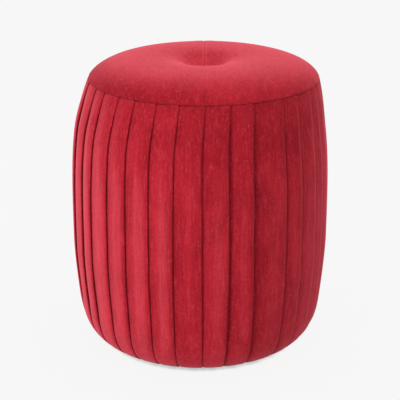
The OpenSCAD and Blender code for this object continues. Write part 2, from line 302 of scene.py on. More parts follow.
def velvet(name, streak_scale, flecks=1.0):
    """Short-napped velvet.

    streak_scale stretches its nap marks along X, Y and Z, and flecks is how strong its grain is.
    A piece stores a mark for each vertex: 1 where it is painted pale, mostly painted highlight and
    light, 0 where it is plain, -1 where it is painted dark, mostly painted shade, and -2 or less
    for the cloth inside a fold, painted a saturated red for the light bounced between its layers.
    """
    m = Shader(name, roughness=0.85, sheen_weight=0.20, sheen_roughness=0.35)
    m.out.inputs["Sheen Tint"].default_value = (1.0, 0.30, 0.35, 1)
    m.out.inputs["Specular IOR Level"].default_value = 0.03

    patches = m.noise(16, 3.0, 0.55, 0.6)
    streaks = m.noise(1.0, 3.0, 0.6, 0.3, m.scaled(*streak_scale))
    nap = m.weighted(patches, 0.55, streaks, 0.45)
    tone = m.ramp(nap, (0.30, VELVET_DARK), (0.5, VELVET_MID), (0.72, VELVET_LIGHT))
    tone = m.mix(0.62, VELVET_MID, tone)         # keeps the contrast low

    # painted sheen: paler and pinker where the surface is seen at a grazing angle
    grazing = m.add("ShaderNodeLayerWeight")
    grazing.inputs["Blend"].default_value = 0.5
    tone = m.mix(m.maths("POWER", grazing.outputs["Facing"], 2.5), tone, VELVET_SHEEN)

    # the mark each piece stores: painted highlight and painted shade, with some paler nap
    nap_and_painted_light = m.value("nap_and_painted_light")
    tone = m.mix(m.span(nap_and_painted_light, 0.0, 1.0), tone, VELVET_PALE_NAP_AND_HIGHLIGHT)
    tone = m.mix(m.span(nap_and_painted_light, 0.0, -1.0), tone, VELVET_DARK)

    fine = m.noise(240, 4.0, 0.8)
    combed = m.noise(1.0, 3.0, 0.65, 0.2, m.scaled(*(4.2 * k for k in streak_scale)))
    grain = m.weighted(fine, 0.5, combed, 0.5)
    tone = m.mix(m.span(grain, 0.51, 0.70, 0.0, 0.46 * flecks), tone, VELVET_DARK)
    tone = m.mix(m.span(grain, 0.49, 0.30, 0.0, 0.30 * flecks), tone, VELVET_SHEEN)
    # painted bounced light: the cloth inside the folds turns a saturated red
    tone = m.mix(m.span(nap_and_painted_light, -1.0, -2.0), tone, VELVET_PAINTED_FOLD_BOUNCE)
    m.colour(tone)
    m.relief(nap, 0.5, 0.35)
    m.relief(grain, 0.30, 0.5)
    return m.material


def cotton(name, colour):
    m = Shader(name, roughness=0.9, sheen_weight=0.2)
    warp = m.bands(1000 / 0.9 / 6.3, 0.4, "Z")
    fleck = m.noise(400, 2.0)
    m.colour(m.mix(m.span(fleck, 0.3, 0.7, 0.1, 0.5), colour, tuple(c * 0.8 for c in colour)))
    m.relief(warp, 0.25, 0.6)
    return m.material


def wadding(name):
    m = Shader(name, roughness=1.0, sheen_weight=0.4)
    fibres = m.noise(140, 6.0, 0.75, 2.5)
    clumps = m.noise(22, 3.0)
    m.colour(m.ramp(fibres, (0.35, (0.66, 0.66, 0.63)), (0.65, (0.90, 0.90, 0.87))))
    m.relief(fibres, 1.2, 0.8)
    m.relief(clumps, 2.5, 0.5)
    return m.material


def foam(name):
    m = Shader(name, roughness=1.0)
    cells = m.cells(650)
    m.colour(m.ramp(cells, (0.0, (0.52, 0.42, 0.20)), (0.55, (0.83, 0.72, 0.44))))
    m.relief(cells, 0.6, 0.8)
    return m.material


def plywood(name):
    m = Shader(name, roughness=0.62)
    plies = m.bands(115, 0.15, "Z", detail=1.0)
    grain = m.noise(1.0, 5.0, 0.65, 0.8, m.scaled(14, 160, 160))
    face = m.ramp(grain, (0.3, (0.50, 0.34, 0.18)), (0.7, (0.70, 0.53, 0.32)))
    m.colour(m.mix(m.span(plies, 0.35, 0.65, 0.0, 0.22), face, (0.32, 0.20, 0.10)))
    m.relief(grain, 0.3, 0.5)
    return m.material


def solid_wood(name, light, dark, along="Z"):
    m = Shader(name, roughness=0.6)
    stretch = {"Z": (70, 70, 6), "X": (6, 70, 70)}[along]
    rings = m.noise(1.0, 5.0, 0.6, 1.6, m.scaled(*stretch))
    m.colour(m.ramp(rings, (0.32, dark), (0.62, light)))
    m.relief(rings, 0.25, 0.5)
    return m.material


def hardboard(name):
    m = Shader(name, roughness=0.7)
    chips = m.noise(260, 5.0, 0.7)
    m.colour(m.ramp(chips, (0.3, (0.20, 0.12, 0.07)), (0.7, (0.40, 0.27, 0.17))))
    m.relief(chips, 0.15, 0.5)
    return m.material


def plated_steel(name, bright, dull):
    m = Shader(name, metallic=1.0)
    clouds = m.noise(320, 4.0, 0.6)
    m.colour(m.ramp(clouds, (0.3, dull), (0.7, bright)))
    m.rough(m.span(clouds, 0.3, 0.7, 0.46, 0.28))
    m.relief(clouds, 0.03, 0.4)
    return m.material


def plastic(name, colour):
    m = Shader(name)
    grain = m.noise(900, 2.0)
    worn = m.noise(60, 4.0)
    m.colour(m.mix(m.span(worn, 0.4, 0.8, 0.0, 0.5), colour, tuple(c * 1.8 + 0.01 for c in colour)))
    m.rough(m.span(worn, 0.3, 0.7, 0.42, 0.62))
    m.relief(grain, 0.05, 0.5)
    return m.material


def twine_cord(name, colour):
    m = Shader(name, roughness=0.7)
    plies = m.bands(260, 0.3, "DIAGONAL")
    m.colour(m.mix(m.span(plies, 0.2, 0.8, 0.0, 0.6), colour, tuple(c * 0.55 for c in colour)))
    m.relief(plies, 0.25, 0.8)
    return m.material


def spunbond(name):
    m = Shader(name, roughness=0.9, sheen_weight=0.15)
    dimples = m.cells(420)
    fibres = m.noise(700, 4.0, 0.7, 1.5)
    m.colour(m.ramp(fibres, (0.3, (0.010, 0.010, 0.012)), (0.7, (0.045, 0.045, 0.050))))
    m.relief(dimples, 0.25, 0.7)
    m.relief(fibres, 0.1, 0.5)
    return m.material


SIDE_VELVET = velvet("velvet_side", (95, 95, 7))
SEAT_VELVET = velvet("velvet_seat", (60, 22, 22), 0.85)
BUTTON_VELVET = velvet("velvet_button", (60, 60, 60))
THREAD = twine_cord("sewing_thread", (0.22, 0.010, 0.022))
TAPE = cotton("cotton_tape", (0.80, 0.76, 0.68))
WADDING = wadding("polyester_wadding")
FOAM = foam("seat_foam")
DUST_CLOTH = spunbond("spunbond_cloth")
ZINC = plated_steel("zinc_plate", (0.72, 0.73, 0.76), (0.50, 0.51, 0.54))
YELLOW_ZINC = plated_steel("yellow_zinc_plate", (0.80, 0.66, 0.33), (0.58, 0.47, 0.24))
PLYWOOD = plywood("birch_plywood")
PINE = solid_wood("planed_pine", (0.78, 0.60, 0.37), (0.58, 0.38, 0.19))
BEECH = solid_wood("turned_beech", (0.66, 0.46, 0.27), (0.50, 0.32, 0.17), "X")
HARDBOARD = hardboard("bent_hardboard")
BLACK_PLASTIC = plastic("glide_plastic", (0.025, 0.025, 0.028))
BUTTON_PLASTIC = plastic("button_plastic", (0.16, 0.16, 0.17))
TWINE = twine_cord("waxed_twine", (0.74, 0.69, 0.56))

CARRIED = {
    "button_shell": ZINC, "button_back": BUTTON_PLASTIC, "tuft_twine": TWINE,
    "twine_toggle": BEECH, "top_board": PLYWOOD, "base_board": PLYWOOD,
    "drum_skin": HARDBOARD, "skin_staples": ZINC, "hem_staples": ZINC,
    "dust_cover_staples": ZINC, "glide_screws": ZINC,
    "top_board_screws": YELLOW_ZINC, "base_board_screws": YELLOW_ZINC,
}
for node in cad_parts:
    if node.startswith("post_"):
        CARRIED[node] = PINE
    elif node.startswith("glide_") and node not in CARRIED:
        CARRIED[node] = BLACK_PLASTIC
for node, material in CARRIED.items():
    for material_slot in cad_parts[node].material_slots:
        material_slot.material = material


# ---------------------------------------------------------------- outline of the stool
def belly(z):
    """Radius of the side at height z, without the rounded lower edge."""
    up = np.clip((z - BELLY_Z) / (SEAM_Z - BELLY_Z), 0, 1)
    down = np.clip((BELLY_Z - z) / (BELLY_Z - CLOTH_LOW), 0, 1)
    return BELLY_R - (BELLY_R - SEAM_R) * up ** SHOULDER_POWER - FOOT_DRAW * down ** FOOT_POWER


def resample(line, at):
    """Points of a polyline at the given lengths along it."""
    step = np.linalg.norm(np.diff(line, axis=0), axis=1)
    along = np.concatenate([[0], np.cumsum(step)])
    return np.stack([np.interp(at, along, line[:, k]) for k in range(line.shape[1])], -1)


def length_of(line):
    return float(np.linalg.norm(np.diff(line, axis=0), axis=1).sum())


def side_line():
    """Fine outline of the side in (radius, height), from the shoulder seam to the hem."""
    z = np.linspace(SEAM_Z, CLOTH_LOW + EDGE_H, 300)
    a = np.radians(np.linspace(90, 0, 200))
    edge_z = CLOTH_LOW + EDGE_H * (1 - np.cos(a) ** EDGE_ROUND)
    edge_r = belly(edge_z) - EDGE_W * (1 - np.sin(a))
    under_r = np.linspace(edge_r[-1], HEM_R, 20)[1:]
    return np.concatenate([
        np.stack([belly(z), z], -1)[:-1],
        np.stack([edge_r, edge_z], -1),
        np.stack([under_r, 0 * under_r + CLOTH_LOW], -1)])


def outward(line):
    """Outward normals of an outline that runs from the seam down to the hem."""
    t = np.gradient(line, axis=0)
    n = np.stack([-t[:, 1], t[:, 0]], -1)
    return n / np.linalg.norm(n, axis=1, keepdims=True)


def lean(points, height=None):
    """Drifts the soft top towards the tuft, which sits a little right of the middle."""
    height = points[..., 2] if height is None else height
    points[..., 0] += TUFT_X * smooth((height - LEAN_FROM) / (LEAN_TO - LEAN_FROM))
    return points


def roll(distance, radius):
    """How far a seam's rolled edge has turned in, at a distance from the seam."""
    t = np.clip(1 - distance / radius, 0, 1)
    return radius * (1 - np.sqrt(1 - t * t))


# ---------------------------------------------------------------- pleated side
FRONT_FOLDS = (-78.5, -64.3, -55.6, -44.2, -34, -22.5, -11.7, 0.5,
               11.7, 22.9, 38.9, 49, 60.5, 68.5, 77)     # degrees from the front


def fold_angles(rng):
    """Angles of the free fold edges in degrees, from the front's left, round by the back."""
    count = PLEATS - len(FRONT_FOLDS)
    gap = (360 + FRONT_FOLDS[0] - FRONT_FOLDS[-1]) / (count + 1)
    back = [FRONT_FOLDS[-1] + gap * (k + 1) + rng.uniform(-0.9, 0.9) for k in range(count)]
    return np.array([*FRONT_FOLDS, *back])


def pleated_side():
    """One long ribbon of velvet folded into knife pleats: face, fold, return, fold, underlay."""
    rng = np.random.RandomState(11)
    base = fold_angles(rng)

    line = side_line()
    total = length_of(line)
    seam_rows = [0, 0.35, 0.8, 1.4, 2.2, 3.2, 4.6, 6.5]      # close rows where the seam rolls in
    at = np.concatenate([seam_rows, np.arange(9, total - 3, 4.2), [total]])
    rows = resample(line, at)
    normal = outward(rows)
    s = at / total
    r, z = rows[:, 0], rows[:, 1]

    # 0 where the pleats are pressed flat, at the seam and the hem, and 1 between
    free = smooth((at - 4) / 45) * (1 - smooth((at - (total - 115)) / 80))
    pressed = smooth((at - (total - 130)) / 60)[:, None]     # 1 under the stool
    gap_in = 0.97 + 0.25 * free                              # between a fold's two layers

    wander = [waves(rng, 3, 0.4, 1.6) for _ in range(PLEATS)]
    lifts = [waves(rng, 3, 0.6, 2.2) for _ in range(PLEATS)]
    crease = [waves(rng, 3, 0.5, 2.0) for _ in range(PLEATS)]
    slant = rng.uniform(-0.35, 0.35, PLEATS)
    openness = rng.uniform(0.5, 1.0, PLEATS)

    # by pleat: 1 where the face lies hollow, right of the front, and 0 where it is rounded
    hollow = smooth((base - 5) / 20) * (1 - smooth((base - 60) / 60))
    # where across the face its highest line is, as a share of its width
    crest = 0.62 + 0.22 * hollow

    # painted light, by pleat: how little of the painted highlight along the hidden fold shows, how
    # much painted light the middle gets, how dark the painted shadow of the last fold edge is, and
    # the painted shade of a face seen side on
    shaded = smooth((base + 35) / 40) * (1 - smooth((base - 60) / 60))
    painted_middle_light = 1 - 0.5 * hollow - 1.5 * bump(base, 0.5, 6)
    far = 0.9 * smooth((base - 10) / 12) * (1 - smooth((base - 70) / 30))
    turned = 0.35 * bump(abs((base + 180) % 360 - 180), 83, 7)
    # painted light, by row: its marks grow below the seam, and painted shade darkens it by the seam
    # and underneath
    settled = (0.10 + 0.90 * smooth((at - 55) / 130))[:, None]
    near_seam = (0.40 * bump(at, 0, 13) + 0.33 * bump(at, 0, 80))[:, None]
    under_tone = -1.1 * smooth((-normal[:, 1] - 0.70) / 0.12)[:, None]

    edge = np.radians(np.stack([base[i] + slant[i] * (s - 0.4) + 0.30 * wander[i](s)
                                for i in range(PLEATS)], 1))
    width = (edge - np.roll(edge, 1, axis=1)) % (2 * math.pi)
    belly_row = int(np.argmax(r))
    full = 2.0 * width[belly_row] * r[belly_row]             # developed width of each pleat
    # depth of each free edge under the outline, and how far the next face starts below it
    edge_depth = [0.5 * CLOTH_T + free * openness[i] * (0.6 + 0.5 * (1 - hollow[i]))
                  * (0.8 + 0.5 * lifts[i](s)) for i in range(PLEATS)]
    step = 2 * gap_in[:, None] + 0.1 + (1.1 - 0.4 * hollow) * free[:, None]

    across = np.linspace(0, 1, 25)
    half_turn = np.radians(np.linspace(-90, 90, 6))[None, 1:-1]
    out_of_fold = 1 + np.sin(half_turn)
    to_fold = np.linspace(0, 1, 4)[None, :]
    from_fold = to_fold[:, :-1]
    angles, depths, nap_and_painted_light_parts = [], [], []
    for i in range(PLEATS):
        start, wide = edge[:, i] - width[:, i], width[:, i] * r
        under = np.minimum((full[i] - wide) / 2, 0.8 * wide)
        ridge = (1 - under / wide + 0.02 * crease[i](s))[:, None]      # where the inner fold is
        start_depth = (edge_depth[i - 1] + step[:, i - 1])[:, None]
        last_depth = edge_depth[i][:, None]
        bend = gap_in[:, None] / 2

        def face(w):
            """Depth of the visible face: up from the gap to its crest, then in to the fold edge."""
            up = np.clip(w / crest[i], 0, 1)
            past = np.clip((w - crest[i]) / (1 - crest[i]), 0, 1)
            dished = hollow[i] * free[:, None]
            rise = (1 - dished) * (1 - (1 - up) ** (1.2 + 4 * pressed)) + dished * up ** 1.6
            top = 0.5 * CLOTH_T
            return top + (start_depth - top) * (1 - rise) + (last_depth - top) * past ** 3.0

        def put(w, depth, nap_and_painted_light):
            """Adds columns: w runs from the last fold edge to this one, depth in millimetres."""
            angles.append(start[:, None] + w * width[:, i][:, None])
            depths.append(depth)
            nap_and_painted_light_parts.append(np.broadcast_to(nap_and_painted_light, w.shape))

        # face: painted highlight along the hidden fold and painted light over its middle, painted
        # shade at both ends
        w = np.broadcast_to(across, (len(at), len(across)))
        streak = (0.5 + 0.5 * crease[i](3 * s))[:, None]
        fold_line = (0.38 * bump(w, ridge + 0.15, 0.20)
                     + 0.80 * streak * bump(w, ridge + 0.04, 0.045))
        plateau = 0.12 * smooth(w / 0.2) * (1 - smooth((w - 0.85) / 0.15))
        tucked = (0.75 + 0.05 * hollow[i]) * np.exp(-(w / (0.30 + 0.04 * hollow[i])) ** 2)
        tone = settled * ((1 - 0.9 * shaded[i]) * fold_line + plateau * painted_middle_light[i]
                          - 0.2 * w ** 8 - 0.55 * tucked - turned[i])
        # painted shadow that the last fold edge casts over the start of this face
        reach = 9.0 / wide[belly_row]
        cast = 0.3 - (far[i] + 0.3) * np.exp(-(w / reach) ** 3)
        tone = np.minimum(tone - near_seam, cast)
        put(w, face(w), np.maximum(tone + under_tone, -1))
        # free fold edge, painted a little darker as shade in the gap beside it
        put(1 + bend * np.cos(half_turn) / wide[:, None], last_depth + bend * out_of_fold, -0.35)
        # return under the face
        w = 1 - to_fold * (1 - ridge)
        put(w, face(w) + gap_in[:, None], DEEP)
        # inner fold
        put(ridge - bend * np.cos(half_turn) / wide[:, None],
            face(ridge) + gap_in[:, None] + bend * out_of_fold, DEEP)
        # underlay, back to the fold edge, where the next face starts
        w = ridge + from_fold * (1 - ridge)
        drop = (step[:, i] - 2 * gap_in)[:, None] * smooth(from_fold)
        put(w, face(w) + 2 * gap_in[:, None] + drop, DEEP)

    angle = np.concatenate(angles, axis=1)
    depth = np.concatenate(depths, axis=1)
    nap_and_painted_light = np.concatenate(nap_and_painted_light_parts, axis=1)

    # thickness, measured across the folded line in each row
    along = angle * r[:, None]
    girth = 2 * math.pi * r
    da = np.roll(along, -1, 1) - np.roll(along, 1, 1)
    da[:, 0] += girth
    da[:, -1] += girth
    dd = np.roll(depth, -1, 1) - np.roll(depth, 1, 1)
    size = np.hypot(da, dd)
    na, nd = dd / size, -da / size

    puckers = waves(rng, 9, 22, 60)(angle / (2 * math.pi))
    sink = roll(at, 2.0)[:, None] + 0.35 * np.exp(-at / 7)[:, None] * puckers

    def place(side):
        a = angle + side * na * CLOTH_T / 2 / r[:, None]
        d = depth + side * nd * CLOTH_T / 2 + sink
        radius = r[:, None] - normal[:, 0][:, None] * d
        height = z[:, None] - normal[:, 1][:, None] * d
        points = np.stack([radius * np.sin(a), -radius * np.cos(a), height], -1)
        return lean(points, z[:, None] + 0 * d)

    piece = shell("pleated_side_velvet", place(1), place(-1), SIDE_VELVET, wrap=True)
    nap_and_painted_light = nap_and_painted_light * (0.5 + 0.5 * free[:, None])
    set_value(piece, "nap_and_painted_light", np.concatenate([nap_and_painted_light, 0 * nap_and_painted_light]))
    finish_piece(piece, "side_velvet", "pleated_side_cover")


# ---------------------------------------------------------------- domed seat
def dome_line(inset=0.0):
    """Outline of the untufted seat in (radius, height), from the seam to the middle.

    Its points are spaced by angle over the shoulder and by radius over the level middle.
    """
    steep = np.radians(np.linspace(0, 80, 240))
    level = np.linspace(np.cos(steep[-1]) ** DOME_FLAT, 0, 160)[1:]
    u = np.concatenate([steep, np.arccos(level ** (1 / DOME_FLAT))])
    return np.stack([(SEAM_R - inset) * np.maximum(np.cos(u), 1e-12) ** DOME_FLAT,
                     SEAM_Z + (DOME_H - inset) * np.sin(u) ** DOME_ROUND], -1)


def dip(r):
    """How far the tuft pulls the seat down at a distance from its middle."""
    return TUFT_DEPTH * np.exp(-(np.maximum(r - TUFT_FLAT, 0) / TUFT_R) ** TUFT_FADE)


def seat_panel(name, side, node):
    """Half of the seat, from the shoulder seam to the tuft.

    side is -1 for the left half and 1 for the right one.
    """
    rng = np.random.RandomState(5 + side)
    line = dome_line()
    line = line[line[:, 0] > EYE_HOLE_R]
    total = length_of(line)
    seam_rows = [0, 0.3, 0.7, 1.3, 2.1, 3.1, 4.4]            # close rows where the seam rolls in
    at = np.concatenate([seam_rows, np.arange(6.4, total - 1.5, 2.6), [total]])
    rings = resample(line, at)
    r, z0 = rings[:, 0], rings[:, 1]
    ring_at, ring_r = at[:, None], r[:, None]

    # half rings, with close columns at both ends, where the middle seam rolls in
    near = np.array([0.03, 0.25, 0.55, 0.9, 1.35, 2.0, 3.0, 4.6, 7.0])
    middle_columns = 72
    half = math.pi * r
    left = near[None, :] * np.minimum(1, half * 0.3 / near[-1])[:, None]
    t = np.linspace(0, 1, middle_columns + 2)[None, 1:-1]
    middle = left[:, -1:] + (half[:, None] - 2 * left[:, -1:]) * t
    arc = np.concatenate([left, middle, half[:, None] - left[:, ::-1]], axis=1)
    psi = arc / ring_r                           # 0 at the front end of the seam, pi at the back
    x = side * ring_r * np.sin(psi)
    y = -ring_r * np.cos(psi)

    # the two seams' rolls, and the puckers that their stitches draw
    seam_distance = np.abs(x)
    back = smooth((y / 40 + 1) / 2)              # the seam is crisp behind the tuft, faint in front
    sink = roll(at, 1.9)[:, None] + roll(seam_distance, 0.15 + 1.4 * back)
    around = psi / math.pi + (0.0 if side < 0 else 2.0)
    puckers = waves(rng, 9, 9, 26)(around)
    sink = sink + 0.38 * np.exp(-at / 7)[:, None] * puckers
    seam_puckers = waves(rng, 7, 6, 18)(y / SEAM_R)
    sink = sink + 0.10 * np.exp(-seam_distance / 5) * seam_puckers
    # the wadding's puff beside the middle seam
    puff = 0.45 * bump(seam_distance, 9, 6) * smooth((ring_r - 40) / 30)
    # drags that run out of the tuft
    drags = waves(rng, 8, 4, 11)(around)
    drag_zone = smooth((ring_r - 15) / 8) * (1 - smooth((ring_r - 28) / 34))
    sink = sink - puff + 0.30 * drag_zone * drags
    # broad unevenness of the foam
    slack = waves(rng, 5, 0.8, 2.4)(around)
    ring_slack = waves(rng, 4, 1.0, 3.0)(ring_r / SEAM_R)
    sink = sink + 0.7 * smooth((ring_r - 40) / 40) * slack * ring_slack

    grid = np.stack([x, y, (z0 - dip(r))[:, None] + 0 * x], -1)
    outer = grid - upward_normals(grid) * sink[..., None]
    inner = outer - upward_normals(outer) * SEAT_T
    height = z0[:, None] + 0 * x
    piece = shell(name, lean(outer, height), lean(inner, height), SEAT_VELVET)

    # paler along the middle seam, painted light on the top and in the tuft, painted shade in the
    # drags and over the shoulder, most of all on its left
    nap_and_painted_light = 0.22 * bump(seam_distance, 2.0, 1.4) * back
    nap_and_painted_light = nap_and_painted_light + 0.07 * smooth(ring_at / 70)
    nap_and_painted_light = nap_and_painted_light + 0.42 * np.exp(-(ring_r / 34) ** 4) * (0.3 + 0.7 * back)
    nap_and_painted_light = nap_and_painted_light - 0.1 * drag_zone * np.maximum(drags, 0)
    nap_and_painted_light = nap_and_painted_light - bump(ring_at, 0, 42) * (0.25 + 0.42 * smooth((20 - x) / 120))
    set_value(piece, "nap_and_painted_light", np.concatenate([nap_and_painted_light, 0 * nap_and_painted_light]))
    finish_piece(piece, "seat_velvet", node)
    return piece, flat_area(outer)


def seats():
    width = SEAM_R * MM * CUT_MARGIN
    length = 2 * SEAM_R * MM * CUT_MARGIN
    for name, side, node in (("seat_panel_left", -1, "seat_cover_left"),
                             ("seat_panel_right", 1, "seat_cover_right")):
        piece, area = seat_panel(name, side, node)
        area = min(area, width * length)


# ---------------------------------------------------------------- button, stitches
def button():
    """Velvet gathered over the button's shell, with its rim tucked under."""
    rng = np.random.RandomState(3)
    lo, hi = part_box("button_cloth")
    radius, high = (hi.x - lo.x) / 2 / MM, (hi.z - lo.z) / MM
    cloth = 1.0
    columns = 96
    a = np.radians(np.linspace(0, 88, 20))
    outline = np.stack([radius * np.cos(a), high * np.sin(a)], -1)
    outer = lathe(outline, columns)
    gather = waves(rng, 6, 9, 22)(np.arange(columns) / columns)
    fold = (0.35 * gather)[None, :] * (np.cos(a) ** 3)[:, None]
    flat_dir = outer[..., :2] / np.linalg.norm(outer[..., :2], axis=-1, keepdims=True)
    outer[..., :2] += flat_dir * (fold - 0.15)[..., None]
    inner = lathe(outline * (radius - cloth) / radius, columns)
    inner[..., 2] = outline[:, 1][:, None] * (high - cloth) / high
    crowns = [[0, 0, high], [0, 0, high - cloth]]
    rows = len(a)
    points = np.concatenate([outer.reshape(-1, 3), inner.reshape(-1, 3), crowns])
    points += np.array([TUFT_X, 0, BUTTON_LOW])
    top = np.arange(rows * columns).reshape(rows, columns)
    low = top + rows * columns
    faces = [*quads(top, True), *quads(low, True)[:, ::-1],
             *quads(np.stack([low[0], top[0]]), True)]
    last = 2 * rows * columns                    # the two crown points
    for k in range(columns):
        n = (k + 1) % columns
        faces.append([top[-1, k], top[-1, n], last])
        faces.append([low[-1, n], low[-1, k], last + 1])
    piece = add_object("button_velvet", points, faces, BUTTON_VELVET)
    nap_and_painted_light = np.zeros(len(points))
    nap_and_painted_light[:rows * columns] = np.repeat(0.15 + 0.2 * np.sin(a), columns)
    set_value(piece, "nap_and_painted_light", nap_and_painted_light)
    finish_piece(piece, "button_velvet", "button_cloth")


def stitches(name, path, closed):
    """Short raised stitches of thread laid along a path of points."""
    pitch, thick, sides = 3.6, 0.32, 6
    # each stitch's thickness along it: (place as a share of the pitch, share of thick)
    profile = [(-0.46, 0.3), (-0.38, 0.8), (-0.15, 1.0), (0.15, 1.0), (0.38, 0.8), (0.46, 0.3)]
    ring = np.radians(np.arange(sides) * 360 / sides)
    line = np.concatenate([path, path[:1]]) if closed else path
    points, faces = [], []
    for k in range(int(length_of(line) / pitch)):
        centre_at = (k + 0.5) * pitch
        ends = resample(line, np.array([centre_at - 0.2, centre_at + 0.2]))
        ahead = ends[1] - ends[0]
        ahead /= np.linalg.norm(ahead)
        across = np.cross(ahead, [0, 0, 1.0])
        across /= np.linalg.norm(across)
        up = np.cross(across, ahead)
        middle = ends.mean(0)
        first = len(points)
        for along, grow in profile:
            for a in ring:
                points.append(middle + ahead * along * pitch
                              + (across * math.cos(a) + up * math.sin(a)) * thick * grow)
        index = first + np.arange(len(profile) * sides).reshape(len(profile), sides)
        faces += [*quads(index, True), index[0], index[-1][::-1]]
    return add_object(name, np.array(points), faces, THREAD)


def threads():
    """The shoulder seam's stitches, and the middle seam's in front of the tuft and behind it."""
    a = np.radians(np.arange(0, 360, 1.0))
    r = SEAM_R - 2.3
    ring = np.stack([r * np.sin(a), -r * np.cos(a), 0 * a + SEAM_Z], -1)
    pieces = [stitches("shoulder_seam_thread", lean(ring), True)]
    depth = 1.5
    line = dome_line()
    line = line[(line[:, 0] > 18) & (line[:, 0] < SEAM_R - 4)]
    line = resample(line, np.arange(0, length_of(line), 2.0))
    for way, end in ((-1, "front"), (1, "back")):
        run = np.stack([0 * line[:, 0], way * line[:, 0], line[:, 1] - dip(line[:, 0]) - depth], -1)
        pieces.append(stitches(f"seat_seam_thread_{end}", lean(run, line[:, 1]), False))
    for piece in pieces:
        finish_piece(piece, "side_velvet")


# ---------------------------------------------------------------- inside and underneath
def stay_tape():
    """Cotton tape behind the pleats' upper ends."""
    low, high = (v.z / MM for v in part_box("pleat_stay_tape"))
    z = np.linspace(high, low, 9)
    outer, inner = (lean(lathe(np.stack([belly(z) - depth, z], -1), 180)) for depth in (5.1, 5.8))
    piece = shell("pleat_tape_band", outer, inner, TAPE, wrap=True)
    finish_piece(piece, "cotton_tape", "pleat_stay_tape")


def soft_ring(name, outline, material, slot, node, lumps, seed, keep_axis=False):
    """A stuffed or foam body of revolution from a closed outline in (radius, height).

    lumps is the height of its unevenness. Its top leans with the cover, except round the twine
    where keep_axis is true, and otherwise against the drum.
    """
    rng = np.random.RandomState(seed)
    columns = 144
    grid = lathe(outline, columns)
    a = np.arange(columns) / columns
    swell = waves(rng, 6, 3, 14)
    rise = waves(rng, 5, 1, 5)
    n = outward(np.concatenate([outline[-1:], outline, outline[:1]]))[1:-1]
    amount = lumps * swell(a)[None, :] * rise(np.linspace(0, 1, len(outline)))[:, None]
    grid[..., 0] -= n[:, 0][:, None] * amount * np.sin(2 * math.pi * a)
    grid[..., 1] += n[:, 0][:, None] * amount * np.cos(2 * math.pi * a)
    radius = np.hypot(grid[..., 0], grid[..., 1])
    drift = smooth((grid[..., 2] - LEAN_FROM) / (LEAN_TO - LEAN_FROM))
    if keep_axis:
        hold = 1 - smooth((radius - 20) / 60)
        drift = hold + (1 - hold) * drift
    else:
        drift = drift * smooth((radius - SLEEVE_R - 0.5) / 8)
    grid[..., 0] += TUFT_X * drift
    index = np.arange(len(outline) * columns).reshape(len(outline), columns)
    index = np.vstack([index, index[:1]])
    piece = add_object(name, grid.reshape(-1, 3), quads(index, True), material)
    finish_piece(piece, slot, node)


def fillings():
    """Wadding and foam of the side and of the seat, each layer just under the one before."""
    line = side_line()
    n = outward(line)

    def inset(t, low_t):
        """The side's outline, t deeper, down to the drum, where it ends low_t above the cloth."""
        p = line - n * t
        p = p[(p[:, 0] > SLEEVE_R) & (line[:, 1] > CLOTH_LOW)]
        return np.concatenate([p, [[SLEEVE_R, CLOTH_LOW + low_t]]])

    def thin(outline):
        return resample(outline, np.arange(0, length_of(outline), 7.0))

    outer, inner = (p[p[:, 1] < SEAM_Z - 1.0] for p in (inset(8.4, 6.4), inset(13.3, 13.3)))
    outline = np.concatenate([thin(outer), outer[-1:], thin(inner)[::-1]])
    soft_ring("side_wadding_wrap", outline, WADDING, "wadding", "side_wadding", 0.25, 21)

    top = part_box("side_foam")[1].z / MM
    foam_out = inset(14.0, 14.0)
    foam_out = foam_out[foam_out[:, 1] < top]
    wall = np.stack([np.full(40, SLEEVE_R), np.linspace(foam_out[-1, 1], top, 40)], -1)[1:]
    outline = np.concatenate([[[SLEEVE_R + 12, top]], thin(foam_out), wall])
    soft_ring("side_foam_sleeve", outline, FOAM, "foam", "side_foam", 0.0, 22)

    def domed(t, hole):
        """The tufted seat's outline, t deeper, as far as a hole in its middle."""
        p = dome_line(t)
        p = p[p[:, 0] > hole]
        p = resample(p, np.arange(0, length_of(p), 4.0))
        return np.stack([p[:, 0], p[:, 1] - dip(p[:, 0]) - 0.2], -1)

    outline = np.concatenate([domed(2.2, 6.0), domed(13.2, 6.0)[::-1]])
    soft_ring("seat_wadding_pad", outline, WADDING, "wadding", "seat_wadding", 0.0, 23, True)

    twine_hole = 2.6
    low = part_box("seat_foam")[0].z / MM
    z = np.linspace(SEAM_Z - 3, low, 9)
    rim = np.stack([belly(z) - 13.9, z], -1)
    floor = np.stack([np.linspace(rim[-1, 0], twine_hole, 24)[1:], np.full(23, low)], -1)
    outline = np.concatenate([domed(13.6, twine_hole)[::-1], rim, floor])
    soft_ring("seat_foam_pad", outline, FOAM, "foam", "seat_foam", 0.0, 24, True)


